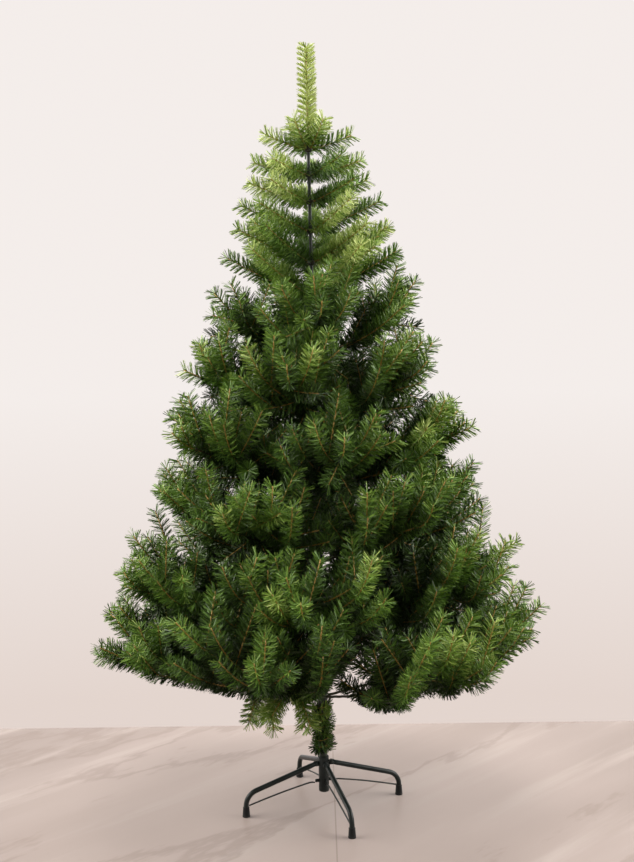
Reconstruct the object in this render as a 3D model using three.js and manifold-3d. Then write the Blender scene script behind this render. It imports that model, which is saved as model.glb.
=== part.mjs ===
// Artificial Christmas tree on a folding steel stand, 1.8 m tall. Millimetres, +Z up, the origin on the floor
// at the middle of the four feet, and -Y the front. From the floor up it is built as the real one is: rubber
// feet on four bent tube legs, wire braces, a hub tube, a pole in three plugged sections, a ring of short
// needles wrapped round the foot of the pole, six tiers of boughs that carry forked masses of needle sprays,
// six whorls of single sprays above them, and one upright spray as the leader.
import * as THREE from "three";
import { mergeVertices } from "three/addons/utils/BufferGeometryUtils.js";
import Module from "manifold-3d";

const wasm = await Module();
wasm.setup();

// ---- Driving dimensions: millimetres, and degrees for angles ----
const treeHeight = 1800;
const clearance = 0.3; // left between two pieces that meet
const seamTolerance = 0.8; // of the foliage, where its pieces are fused
const flatTolerance = 0.01; // of the steel pieces, where only flat faces are merged
const sprayGap = 1; // kept between the sprays of two masses
const lean = 0.7; // of the pole in the hub, towards -X

const footCircle = 195; // from the middle of the stand to each foot
const legTurn = 18.5; // of the first leg from +X towards +Y
const legRadius = 6;
const legPivot = { radius: 21, height: 106 };
const legSlope = 17; // of the straight arm, downwards
const legBend = 36; // radius of the bend above the foot
const bendSteps = 7;
const footHeight = 24;
const footSocket = 7; // height at which the tube ends inside the foot
const footRadius = { top: 8, floor: 9.5 };
const braceRadius = 2;
const bracePivot = { radius: 18, height: 64 };

const hub = { radius: 12.5, bottom: 37, floor: 45, top: 123 };
const lug = { thick: 3, height: 13, reach: 27 };
const screw = { radius: 2.5, turn: -27, height: 114, tip: 9.8, head: 17, wing: 5.5 };
const rivet = { radius: 2.2, head: 3.6, headThick: 1.4 };

const poleRadius = { lower: 9.5, middle: 8, upper: 4 };
const poleJoint = { middle: 700, upper: 1150, top: 1575 };
const spigot = { length: 35, wall: 2 };
const collar = { reach: 5, height: 16 };

const garland = { from: 136, to: 256, radius: 29, rows: 5 };

// The crown is a cone: how far the tips stand from the pole at a height.
const crown = { headHeight: 1600, headReach: 113, flare: 0.3756 };
const tierBase = { height: 272, step: 168, shrink: 4, rise: 13.5, riseStep: 3 };
const tierCounts = [6, 5, 5, 5, 5, 4];
const tierTurns = [15, 50, 20, 66, 38, 5];
// Some boughs are bent by hand: how much steeper each of the lowest tier rises, and the boughs of every tier
// that reach less or further than the rest, as shares.
const lowestLifts = [-0.04, 0, 0, 0.05, 0.12, 0.03];
const boughReaches = [[1, 1, 1, 0.96, 1, 1], [], [], [1, 1, 1.08, 1, 1.08], [], [1, 1, 0.88, 1]];
const boughSeed = 1001;
const twigsPerBough = [10, 10, 9, 8, 7, 6];
const bareBough = 105; // length of the bare boughs of the lowest tier
const rimLifts = [-0.08, 0.16, 0.14, 0.02]; // of the twigs' ends, as slopes over the bough's own
const stemSag = 0.03;
const stemRadius = { root: 4.5, tip: 2.4 };
const twigRadius = 2.6;
const sprayRadius = 33;
const sprayLength = 175;
const hanging = [
  { bough: 3, from: 0.37, turn: 105, out: 14, down: 95 },
  { bough: 4, from: 0.55, turn: -75, out: 34, down: 100 },
  { bough: 4, from: 0.62, turn: 100, out: 28, down: 100 },
];
const hangingRadius = 25; // of the sprays on the twigs that hang
const standing = { length: 125, longer: 30, pitch: 46, steeper: 14 }; // twigs that stand up from a bough

const whorlBase = { height: 1225, step: 80, shrink: 2.6, count: 7, rise: 27, riseStep: 3 };
const whorlFan = { front: 80, stagger: 0.1 }; // the angle left free in front, and a shift in shares of a step
const whorls = 6; // the last of them is part of the leader's cap
const whorlSpray = 24;
const leaderRadius = 25;
const topRise = { low: 19, high: 49, shorter: 0.72 };
const cap = { radius: 8.5, above: 5 };

const degrees = Math.PI / 180;
const upward = new THREE.Vector3(0, 0, 1);

// ---- Materials ----
const paint = new THREE.MeshStandardMaterial({ color: 0x1c2421, roughness: 0.45, metalness: 0.5 });
const rubber = new THREE.MeshStandardMaterial({ color: 0x141615, roughness: 0.8, metalness: 0 });
const poleSteel = new THREE.MeshStandardMaterial({ color: 0x20261f, roughness: 0.5, metalness: 0.4 });
const wire = new THREE.MeshStandardMaterial({ color: 0x2b2f24, roughness: 0.55, metalness: 0.5 });
const needles = new THREE.MeshStandardMaterial({ color: 0x2f6a22, roughness: 0.5, metalness: 0 });

// ---- Solids: three.js geometry to and from a closed manifold ----
function solid(geometry) {
  const bare = geometry.clone();
  bare.deleteAttribute("normal");
  bare.deleteAttribute("uv");
  const merged = mergeVertices(bare, 1e-3);
  const index = Array.from(merged.index.array);
  const kept = [];
  for (let i = 0; i < index.length; i += 3) {
    const [a, b, c] = index.slice(i, i + 3);
    if (a !== b && b !== c && a !== c) kept.push(a, b, c);
  }
  const build = (triangles) =>
    new wasm.Manifold(
      new wasm.Mesh({
        numProp: 3,
        vertProperties: new Float32Array(merged.attributes.position.array),
        triVerts: new Uint32Array(triangles),
      }),
    );
  const made = build(kept);
  return made.volume() < 0 ? build(kept.slice().reverse()) : made;
}

function geometryOf(manifold) {
  const mesh = manifold.getMesh();
  const places = new Float32Array(mesh.numVert * 3);
  for (let i = 0; i < mesh.numVert; i++)
    places.set(mesh.vertProperties.subarray(i * mesh.numProp, i * mesh.numProp + 3), i * 3);
  const geometry = new THREE.BufferGeometry();
  geometry.setAttribute("position", new THREE.BufferAttribute(places, 3));
  geometry.setIndex(new THREE.BufferAttribute(new Uint32Array(mesh.triVerts), 1));
  geometry.computeVertexNormals();
  return geometry;
}

// Fuses pieces into one body; tidied drops the slivers that the seams leave.
const joined = (geometries) => geometries.map(solid).reduce((a, b) => a.add(b));
const tidied = (manifold, tolerance = seamTolerance) => manifold.asOriginal().simplify(tolerance);

function piece(name, geometry, material) {
  const mesh = new THREE.Mesh(geometry, material);
  mesh.name = name;
  return mesh;
}

// A profile of [radius, height] pairs turned about the Z axis.
function turned(profile, sides) {
  const points = profile.map(([radius, height]) => new THREE.Vector2(radius, height));
  return new THREE.LatheGeometry(points, sides).rotateX(Math.PI / 2);
}

// The radius to draw a bore with so that its flats clear what runs through it.
const boreRadius = (radius, sides) => (radius + clearance) / Math.cos(Math.PI / sides);

// Bends a shape that stands along +Y from 0 to 1 onto a stretch of a curve. Its x and z become offsets across
// the curve.
function along(geometry, curve, from, to) {
  const chord = curve.getPoint(1).sub(curve.getPoint(0)).normalize();
  const reference = Math.abs(chord.z) < 0.8 ? upward : new THREE.Vector3(1, 0, 0);
  const places = geometry.attributes.position;
  for (let i = 0; i < places.count; i++) {
    const share = from + (to - from) * places.getY(i);
    const tangent = curve.getTangent(share);
    const side = tangent.clone().cross(reference).normalize();
    const over = side.clone().cross(tangent);
    const point = curve.getPoint(share);
    point.addScaledVector(side, places.getX(i)).addScaledVector(over, places.getZ(i));
    places.setXYZ(i, point.x, point.y, point.z);
  }
  return geometry;
}

// A tapering limb: a cylinder of a few sides laid along a stretch of a curve.
function limb(curve, from, to, rootRadius, tipRadius, sides, steps) {
  const rod = new THREE.CylinderGeometry(tipRadius, rootRadius, 1, sides, steps);
  return along(rod.translate(0, 0.5, 0), curve, from, to);
}

// A twig with its spray of needles: a lathe of a few sides whose first stretch is the bare twig, and whose
// rest is a stack of flared rows of points that lean forwards, each row turned from the one before as needles
// spiral.
function needleSpray(curve, bareShare, radius, rows, sides) {
  const core = 0.42 * radius;
  const pitch = (1 - bareShare) / (rows + 0.2);
  const profile = [new THREE.Vector2(0, 0), new THREE.Vector2(twigRadius, 0)];
  for (let row = 0; row < rows; row++) {
    const start = bareShare + row * pitch;
    const fullness = row === rows - 1 ? 0.82 : 1;
    profile.push(new THREE.Vector2(row ? core : twigRadius, start));
    profile.push(new THREE.Vector2(radius * fullness, start + (row ? 1.05 : 0.8) * pitch));
  }
  profile.push(new THREE.Vector2(0, 1));
  const lathe = new THREE.LatheGeometry(profile, sides);
  const places = lathe.attributes.position;
  const rings = profile.length;
  for (let i = 0; i < places.count; i++) {
    const row = Math.floor(((i % rings) - 2) / 2);
    const twist = (Math.max(row, 0) * Math.PI) / sides;
    const [x, z] = [places.getX(i), places.getZ(i)];
    places.setX(i, x * Math.cos(twist) + z * Math.sin(twist));
    places.setZ(i, z * Math.cos(twist) - x * Math.sin(twist));
  }
  return along(lathe, curve, 0, 1);
}

// ---- The growth rule: where the boughs, twigs and sprays run, before any of them is made solid ----
function seeded(seed) {
  let state = seed;
  return () => {
    state = (state * 16807) % 2147483647;
    return state / 2147483647;
  };
}

const polar = (azimuth, radius, height) =>
  new THREE.Vector3(radius * Math.cos(azimuth * degrees), radius * Math.sin(azimuth * degrees), height);

// Where a bough that rises at a slope from its root meets the cone of the crown.
function reachFrom(rootHeight, slope) {
  const coneAtRoot = crown.headReach + crown.flare * (crown.headHeight - rootHeight);
  return coneAtRoot / (1 + crown.flare * slope);
}

// A limb bows downwards a little between its ends, by a share of its length.
function bowed(start, end, sag) {
  const middle = start.clone().add(end).multiplyScalar(0.5);
  middle.z -= sag * start.distanceTo(end);
  return new THREE.QuadraticBezierCurve3(start, middle, end);
}

function poleRadiusAt(height) {
  if (height < poleJoint.middle) return poleRadius.lower;
  return height < poleJoint.upper ? poleRadius.middle : poleRadius.upper;
}

// One bough: its stem, then twigs that leave it on alternate sides and end round the rim of its sector, some
// higher and some lower, on the lowest tier never below the bough. Every third twig stands up from the stem
// instead, and the last is the stem's own end. Three twigs of the lowest tier leave sideways and hang.
function boughPlan(tier, index) {
  const draw = seeded(boughSeed + 97 * tier + 13 * index);
  for (let warm = 0; warm < 3; warm++) draw();
  const sector = 360 / tierCounts[tier];
  const lowest = tier === 0;
  const rootHeight = tierBase.height + tier * tierBase.step - (tierBase.shrink * tier * (tier - 1)) / 2;
  const azimuth = tierTurns[tier] + index * sector + (lowest ? 0 : 8 * (draw() - 0.5));
  const rise = (tierBase.rise + tier * tierBase.riseStep) * degrees;
  const slope = Math.tan(rise) + (lowest ? lowestLifts[index] : 0);
  const share = (boughReaches[tier][index] ?? 1) * (lowest ? 1 : 0.95 + 0.07 * draw());
  const reach = share * reachFrom(rootHeight, Math.tan(rise));
  const rootTilt = stemRadius.root * Math.sin(rise - 2 * stemSag);
  const rootRadius = poleRadiusAt(rootHeight) + collar.reach + clearance + rootTilt;
  const stemEnd = 0.8 * reach;
  const stem = bowed(
    polar(azimuth, rootRadius, rootHeight),
    polar(azimuth, stemEnd, rootHeight + slope * stemEnd),
    stemSag,
  );
  const twigs = [];
  const total = twigsPerBough[tier];
  for (let k = 0; k < total; k++) {
    const last = k === total - 1;
    const station = last ? 0.93 : 0.26 + (0.62 * k) / (total - 1);
    const side = k % 2 ? 1 : -1;
    const stands = k % 3 === 1 && !last;
    const [a, b, c] = [draw(), draw(), draw()];
    const fan = last ? 0.1 * (a - 0.5) : side * (0.46 - 0.3 * station) * (0.9 + 0.2 * a);
    const start = stem.getPoint(station);
    let end;
    if (stands) {
      const length = standing.length + standing.longer * b;
      const pitch = (standing.pitch + standing.steeper * c) * degrees;
      const tipAzimuth = azimuth + 0.5 * fan * sector;
      end = start.clone().add(polar(tipAzimuth, length * Math.cos(pitch), length * Math.sin(pitch)));
    } else {
      const rim = reach * (last ? 1 : 0.9 + 0.09 * b);
      const tipAzimuth = azimuth + fan * sector;
      const above = last ? 0 : rimLifts[k % rimLifts.length] + 0.08 * (c - 0.5);
      end = polar(tipAzimuth, rim, rootHeight + (slope + (lowest ? Math.max(0, above) : above)) * rim);
    }
    twigs.push({ station, curve: bowed(start, end, 0.04), radius: sprayRadius });
  }
  for (const { bough, from, turn, out, down } of lowest ? hanging : []) {
    if (index !== bough) continue;
    const start = stem.getPoint(from);
    const bend = start.clone().add(polar(azimuth + turn, 2 * out, 0));
    const end = start.clone().add(polar(azimuth + turn, out, -down));
    const curve = new THREE.QuadraticBezierCurve3(start, bend, end);
    twigs.push({ station: from, curve, radius: hangingRadius });
  }
  return { stem, twigs };
}

// One whorl: single sprays round the pole, combed aside in front, where the pole shows. The topmost has its
// sprays rise by turns less and more.
function whorlPlan(level) {
  const draw = seeded(5000 + 71 * level);
  for (let warm = 0; warm < 3; warm++) draw();
  const height = whorlBase.height + level * (whorlBase.step - whorlBase.shrink * level);
  const top = level === whorls - 1;
  const step = (360 - whorlFan.front) / (whorlBase.count - 1);
  const sprays = [];
  for (let index = 0; index < whorlBase.count; index++) {
    const turn = index + whorlFan.stagger * (level % 2 ? 1 : -1) + 0.16 * (draw() - 0.5);
    const azimuth = whorlFan.front / 2 - 90 + turn * step;
    const steep = top && index % 2 === 0;
    const usual = top ? topRise.low : whorlBase.rise - level * whorlBase.riseStep;
    const rise = (steep ? topRise.high : usual) + 4 * (draw() - 0.5);
    const slope = Math.tan(rise * degrees);
    const reach = reachFrom(height, slope) * (0.95 + 0.07 * draw()) * (steep ? topRise.shorter : 1);
    const start = polar(azimuth, poleRadius.upper + 2.5, height);
    sprays.push(bowed(start, polar(azimuth, reach, height + slope * reach), 0.05));
  }
  return { height, sprays };
}

// ---- Spaces: a spray is kept only where it stays clear of every other mass and of the limbs ----
const taken = []; // { owner, from, to, radius }: a capsule round each stretch that is already filled

function gapBetween(p1, q1, p2, q2) {
  const [d1, d2, r] = [q1.clone().sub(p1), q2.clone().sub(p2), p1.clone().sub(p2)];
  const [a, e, f, c, b] = [d1.dot(d1), d2.dot(d2), d2.dot(r), d1.dot(r), d1.dot(d2)];
  const denominator = a * e - b * b;
  const clamp = (value) => Math.min(1, Math.max(0, value));
  let s = denominator > 1e-9 ? clamp((b * f - c * e) / denominator) : 0;
  let t = (b * s + f) / e;
  if (t < 0 || t > 1) {
    t = clamp(t);
    s = clamp((b * t - c) / a);
  }
  return d1.multiplyScalar(s).add(p1).distanceTo(d2.multiplyScalar(t).add(p2));
}

function stretches(owner, curve, bareShare, radius) {
  const [start, edge, middle, end] = [0, bareShare, (1 + bareShare) / 2, 1].map((u) => curve.getPoint(u));
  return [
    { owner, from: start, to: edge, radius: twigRadius },
    { owner, from: edge, to: middle, radius },
    { owner, from: middle, to: end, radius },
  ];
}

const apart = (a, b) => gapBetween(a.from, a.to, b.from, b.to) > a.radius + b.radius + sprayGap;
const isFree = (wanted, ignored) =>
  wanted.every((w) => taken.every((t) => t.owner === w.owner || t.owner === ignored || apart(w, t)));

// ---- The stand ----
const stand = new THREE.Group();
const legDown = legSlope * degrees;

function hubSolid() {
  const bore = boreRadius(poleRadius.lower, 16) + 0.5;
  const tube = turned(
    [
      [0, hub.bottom],
      [hub.radius, hub.bottom],
      [hub.radius, hub.top],
      [bore, hub.top],
      [bore, hub.floor],
      [0, hub.floor],
    ],
    16,
  );
  let made = solid(tube);
  for (let i = 0; i < 4; i++) {
    const turn = (legTurn + 90 * i) * degrees;
    const innerFace = hub.radius - 1.5;
    const legLug = new THREE.BoxGeometry(lug.reach - innerFace, lug.thick, lug.height);
    legLug.translate((lug.reach + innerFace) / 2, 0, legPivot.height).rotateZ(turn);
    const braceReach = bracePivot.radius + 4;
    const braceLug = new THREE.BoxGeometry(braceReach - innerFace, lug.thick, 8);
    braceLug.translate((braceReach + innerFace) / 2, 0, bracePivot.height).rotateZ(turn);
    const halfLeg = legRadius + clearance;
    const pin = new THREE.CylinderGeometry(rivet.radius, rivet.radius, 2 * halfLeg + 1, 6);
    pin.translate(legPivot.radius, 0, legPivot.height).rotateZ(turn);
    const heads = [1, -1].map((end) => {
      const head = new THREE.CylinderGeometry(rivet.head, rivet.head, rivet.headThick, 6);
      const out = end * (halfLeg + rivet.headThick / 2);
      return head.translate(legPivot.radius, out, legPivot.height).rotateZ(turn);
    });
    for (const part of [legLug, braceLug, pin, ...heads]) made = made.add(solid(part));
  }
  const hole = new THREE.CylinderGeometry(screw.radius + clearance, screw.radius + clearance, hub.radius, 8);
  hole.rotateZ(Math.PI / 2).translate(hub.radius, 0, screw.height).rotateZ(screw.turn * degrees);
  return tidied(made.subtract(solid(hole)), flatTolerance);
}

// The leg's middle line in its own upright plane: a straight arm, a bend and a short drop into the foot. Each
// station has its place and how far the line has turned downwards there.
const armHeight = (x) => legPivot.height - (x - legPivot.radius) * Math.tan(legDown);
const bendStart = armHeight(footCircle - legBend);
const bendCentre = { x: footCircle - legBend, z: bendStart - legBend / Math.cos(legDown) };

function legStation(index) {
  const start = legPivot.radius - 6;
  if (index === 0) return { x: start, z: armHeight(start), turn: legDown };
  if (index > bendSteps + 1) return { x: footCircle, z: footSocket, turn: Math.PI / 2 };
  const turn = legDown + ((Math.PI / 2 - legDown) * (index - 1)) / bendSteps;
  return { x: bendCentre.x + legBend * Math.sin(turn), z: bendCentre.z + legBend * Math.cos(turn), turn };
}

function legTube() {
  const steps = bendSteps + 2;
  const rod = new THREE.CylinderGeometry(legRadius, legRadius, steps, 8, steps).translate(0, steps / 2, 0);
  const places = rod.attributes.position;
  for (let i = 0; i < places.count; i++) {
    const { x, z, turn } = legStation(Math.round(places.getY(i)));
    const across = places.getX(i);
    places.setXYZ(i, x + across * Math.sin(turn), places.getZ(i), z + across * Math.cos(turn));
  }
  return rod;
}

function legSolid() {
  const slot = new THREE.BoxGeometry(24, lug.thick + 2 * clearance, 40);
  slot.translate(legPivot.radius - 3, 0, legPivot.height);
  const hole = new THREE.CylinderGeometry(rivet.radius + clearance, rivet.radius + clearance, 40, 6);
  hole.translate(legPivot.radius, 0, legPivot.height);
  const hubSpace = new THREE.CylinderGeometry(hub.radius + 0.8, hub.radius + 0.8, 200, 16);
  hubSpace.rotateX(Math.PI / 2);
  const made = solid(legTube()).subtract(solid(slot)).subtract(solid(hole)).subtract(solid(hubSpace));
  return tidied(made, flatTolerance);
}

function footSolid() {
  const bore = boreRadius(legRadius, 10);
  const profile = [
    [0, 0],
    [footRadius.floor, 0],
    [footRadius.floor, 3],
    [footRadius.top, footHeight],
    [bore, footHeight],
    [bore, footSocket - clearance],
    [0, footSocket - clearance],
  ];
  return turned(profile, 10).translate(footCircle, 0, 0);
}

function braceSolid() {
  const start = new THREE.Vector3(bracePivot.radius + 5 + clearance, 0, bracePivot.height);
  const end = new THREE.Vector3(footCircle - legRadius - clearance - 0.5, 0, bendCentre.z);
  return limb(new THREE.LineCurve3(start, end), 0, 1, braceRadius, braceRadius, 6, 1);
}

// The thumb screw that clamps the pole: a shank with a flat wing, lying along X before it is turned.
function thumbScrewSolid() {
  const shankLength = screw.head - screw.tip + 2;
  const shank = new THREE.CylinderGeometry(screw.radius, screw.radius, shankLength, 8);
  shank.rotateZ(Math.PI / 2).translate(screw.tip + shankLength / 2, 0, screw.height);
  const wing = new THREE.CylinderGeometry(screw.wing, screw.wing, 3, 10);
  wing.scale(0.7, 1, 1).translate(screw.head + 0.7 * screw.wing, 0, screw.height);
  return joined([shank, wing]);
}

stand.add(piece("hub", geometryOf(hubSolid()), paint));
stand.add(piece("thumb_screw", geometryOf(thumbScrewSolid()).rotateZ(screw.turn * degrees), wire));
for (let i = 0; i < 4; i++) {
  const turn = (legTurn + 90 * i) * degrees;
  stand.add(piece(`leg_${i + 1}`, geometryOf(legSolid()).rotateZ(turn), paint));
  stand.add(piece(`foot_${i + 1}`, footSolid().rotateZ(turn), rubber));
  stand.add(piece(`brace_${i + 1}`, braceSolid().rotateZ(turn), wire));
}

// ---- The tree: pole, boughs and foliage, all leaning together in the hub ----
const tree = new THREE.Group();
const hubMiddle = (hub.floor + hub.top) / 2;
tree.position.z = hubMiddle;
tree.rotation.y = -lean * degrees;
const upright = new THREE.Group();
upright.position.z = -hubMiddle;
tree.add(upright);

// A section of the pole with a collar at each tier, a spigot below that plugs into the section under it, and
// a socket above for the next one.
function poleSection(from, to, radius, spigotRadius, socketRadius, collarHeights) {
  const profile = [[0, spigotRadius ? from - spigot.length : from]];
  if (spigotRadius) profile.push([spigotRadius, from - spigot.length], [spigotRadius, from]);
  profile.push([radius, from]);
  for (const height of collarHeights) {
    const [low, high, ring] = [height - collar.height / 2, height + collar.height / 2, radius + collar.reach];
    profile.push([radius, low], [ring, low + 2], [ring, high - 2], [radius, high]);
  }
  profile.push([radius, to]);
  const depth = spigot.length + clearance;
  if (socketRadius) profile.push([socketRadius, to], [socketRadius, to - depth], [0, to - depth]);
  else profile.push([0, to]);
  return turned(profile, 12);
}

const tierHeights = tierCounts.map((_, tier) => boughPlan(tier, 0).stem.getPoint(0).z);
const collarsIn = (from, to) => tierHeights.filter((height) => height > from && height < to);
const middleSpigot = poleRadius.middle - spigot.wall;
const upperSpigot = poleRadius.upper - 0.8;
const [middleFoot, upperFoot] = [poleJoint.middle, poleJoint.upper];
const poles = [
  ["pole_lower", hub.floor + 2 * clearance, middleFoot - clearance, poleRadius.lower, 0, middleSpigot],
  ["pole_middle", middleFoot, upperFoot - clearance, poleRadius.middle, middleSpigot, upperSpigot],
  ["pole_upper", upperFoot, poleJoint.top, poleRadius.upper, upperSpigot, 0],
];
for (const [name, from, to, radius, spigotRadius, above] of poles) {
  const socket = above ? above + 1.5 * clearance : 0;
  const section = poleSection(from, to, radius, spigotRadius, socket, collarsIn(from, to));
  upright.add(piece(name, section, poleSteel));
  const reach = radius + (radius > poleRadius.upper ? collar.reach : 0);
  taken.push({ owner: name, from: polar(0, 0, from), to: polar(0, 0, to), radius: reach });
}

// The short needles wrapped round the foot of the pole: a toothed sleeve.
function garlandSleeve() {
  const inner = boreRadius(poleRadius.lower, 9);
  const pitch = (garland.to - garland.from) / garland.rows;
  const profile = [[inner, garland.from]];
  for (let row = 0; row < garland.rows; row++) {
    const start = garland.from + row * pitch;
    profile.push([inner + 5, start + 0.05 * pitch], [garland.radius, start + 0.75 * pitch]);
  }
  profile.push([inner + 4, garland.to], [inner, garland.to], [inner, garland.from]);
  return turned(profile, 9);
}
upright.add(piece("garland", garlandSleeve(), needles));

// The top piece: a cap that sits on the end of the pole, with the leader upright on it and a whorl round it.
// Below it the whorls of single sprays are each fused to a small ring round the pole.
const leaderCurve = new THREE.LineCurve3(polar(0, 0, poleJoint.top + 2), polar(0, 0, treeHeight));
const whorlBare = 0.08;

function whorlRing(level, height) {
  const [low, high] = [height - 5, height + 5];
  const inner = boreRadius(poleRadius.upper, 10);
  const lip = [[inner, low], [cap.radius, low]];
  if (level < whorls - 1) return turned([...lip, [cap.radius, high], [inner, high], [inner, low]], 10);
  const [roof, peak] = [poleJoint.top + clearance, poleJoint.top + clearance + cap.above];
  return turned([...lip, [cap.radius, peak], [0, peak], [0, roof], [inner, roof], [inner, low]], 10);
}

const poleSpace = () => {
  const rod = new THREE.CylinderGeometry(poleRadius.upper + clearance, poleRadius.upper + clearance, 500, 10);
  const roof = poleJoint.top + clearance;
  return solid(rod.rotateX(Math.PI / 2).translate(0, 0, roof - 250));
};

for (let level = whorls - 1; level >= 0; level--) {
  const top = level === whorls - 1;
  const name = top ? "leader" : `whorl_${level + 1}`;
  const { height, sprays } = whorlPlan(level);
  const parts = [whorlRing(level, height)];
  if (top) {
    parts.push(needleSpray(leaderCurve, 0.04, leaderRadius, 6, 4));
    taken.push(...stretches(name, leaderCurve, 0.04, leaderRadius));
  }
  for (const curve of sprays) {
    const wanted = stretches(name, curve, whorlBare, whorlSpray);
    if (!isFree(wanted.slice(1), "pole_upper")) continue;
    taken.push(...wanted);
    parts.push(needleSpray(curve, whorlBare, whorlSpray, 3, 3));
  }
  const made = joined(parts).subtract(poleSpace());
  upright.add(piece(name, geometryOf(tidied(made)), needles));
}

// The tiers: the lowest has bare boughs that carry their masses, and above it the stem starts at the pole.
for (let tier = 0; tier < tierCounts.length; tier++) {
  for (let index = 0; index < tierCounts[tier]; index++) {
    const { stem, twigs } = boughPlan(tier, index);
    const name = `mass_${tier + 1}_${index + 1}`;
    const length = stem.getLength();
    const bare = tier ? 0 : bareBough / length;
    const stemAt = (share) => stemRadius.root + (stemRadius.tip - stemRadius.root) * share;
    if (bare) {
      const bough = limb(stem, 0, bare - clearance / length, stemRadius.root, stemAt(bare), 6, 2);
      upright.add(piece(`bough_1_${index + 1}`, bough, wire));
    }
    const parts = [limb(stem, bare, 1, stemAt(bare), stemRadius.tip, 4, 3)];
    taken.push({ owner: name, from: stem.getPoint(bare), to: stem.getPoint(1), radius: stemRadius.root });
    for (const { station, curve, radius } of twigs) {
      if (station <= bare) continue;
      const bareShare = Math.max(0.12, 1 - sprayLength / curve.getLength());
      const wanted = stretches(name, curve, bareShare, radius);
      if (!isFree(wanted)) continue;
      taken.push(...wanted);
      parts.push(needleSpray(curve, bareShare, radius, station > 0.9 ? 3 : 2, 3));
    }
    upright.add(piece(name, geometryOf(tidied(joined(parts))), needles));
  }
}

const group = new THREE.Group();
group.add(stand, tree);

export default group;
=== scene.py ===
import bpy
import numpy as np
from mathutils import Matrix, Vector


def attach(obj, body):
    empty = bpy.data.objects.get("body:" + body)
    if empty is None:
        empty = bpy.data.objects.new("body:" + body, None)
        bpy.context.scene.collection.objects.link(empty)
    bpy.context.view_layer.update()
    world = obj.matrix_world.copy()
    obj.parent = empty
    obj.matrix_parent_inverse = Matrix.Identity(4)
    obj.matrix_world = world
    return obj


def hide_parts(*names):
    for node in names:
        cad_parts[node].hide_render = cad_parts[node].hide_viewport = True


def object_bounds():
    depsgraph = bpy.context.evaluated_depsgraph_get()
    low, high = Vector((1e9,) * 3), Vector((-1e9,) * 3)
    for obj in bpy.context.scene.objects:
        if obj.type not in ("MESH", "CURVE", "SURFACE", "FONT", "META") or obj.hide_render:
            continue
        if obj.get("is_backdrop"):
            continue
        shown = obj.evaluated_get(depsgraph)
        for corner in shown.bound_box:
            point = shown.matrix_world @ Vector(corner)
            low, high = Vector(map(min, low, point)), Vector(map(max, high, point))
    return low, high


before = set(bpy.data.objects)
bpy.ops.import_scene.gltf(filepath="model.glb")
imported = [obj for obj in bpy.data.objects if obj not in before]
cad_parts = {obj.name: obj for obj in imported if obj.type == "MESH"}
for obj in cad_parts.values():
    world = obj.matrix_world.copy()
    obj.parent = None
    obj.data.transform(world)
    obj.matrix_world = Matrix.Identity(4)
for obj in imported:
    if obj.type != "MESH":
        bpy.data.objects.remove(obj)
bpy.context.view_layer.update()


# ---- Camera ----
# It stands 2.8 m in front of the pole at two thirds of the tree's height, looks five degrees down, and is
# turned a little clockwise on its own axis.
camera_place = (-0.0062, -2.8, 1.1661)
camera_pitch = 5.231
camera_turn = -0.722
camera_height_angle = 39.65

camera = bpy.data.objects.new("camera", bpy.data.cameras.new("camera"))
camera.data.sensor_fit = "VERTICAL"
camera.data.angle = np.radians(camera_height_angle)
level_look = Matrix.Rotation(np.radians(90 - camera_pitch), 4, "X")
camera.matrix_world = (Matrix.Translation(camera_place)
                       @ (level_look @ Matrix.Rotation(np.radians(camera_turn), 4, "Z")))
bpy.context.scene.collection.objects.link(camera)
bpy.context.scene.camera = camera


# ---- Floor ----
# A pale polished stone floor that ends at a warm white wall close behind the tree. The wall is the world's
# own colour, plain but for painted shade towards its foot where it meets the floor, so that the tree can be
# seen from every side.
floor_edge = 0.58
floor_reach = 4.0
wall_colour = (0.905, 0.851, 0.825, 1)
wall_foot_shade = (0.77, 0.665, 0.615, 1)
stone_colours = {
    "base": (0.214, 0.177, 0.160, 1),
    "cloud": (0.262, 0.220, 0.203, 1),
    "streak": (0.380, 0.330, 0.305, 1),
    "vein": (0.158, 0.120, 0.101, 1),
    "painted_light_patch": (0.500, 0.415, 0.380, 1),
}
streak_turn = -0.8
seam = 0.026


class Shade:
    """One output socket of a finish. Arithmetic on it adds the Math node that does it."""

    def __init__(self, finish, socket):
        self.finish = finish
        self.socket = socket

    def _math(self, operation, first, second):
        return self.finish.node("ShaderNodeMath", {"operation": operation}, {0: first, 1: second})

    def __add__(self, other):
        return self._math("ADD", self, other)

    def __radd__(self, other):
        return self._math("ADD", other, self)

    def __sub__(self, other):
        return self._math("SUBTRACT", self, other)

    def __rsub__(self, other):
        return self._math("SUBTRACT", other, self)

    def __mul__(self, other):
        return self._math("MULTIPLY", self, other)

    def __rmul__(self, other):
        return self._math("MULTIPLY", other, self)


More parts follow.
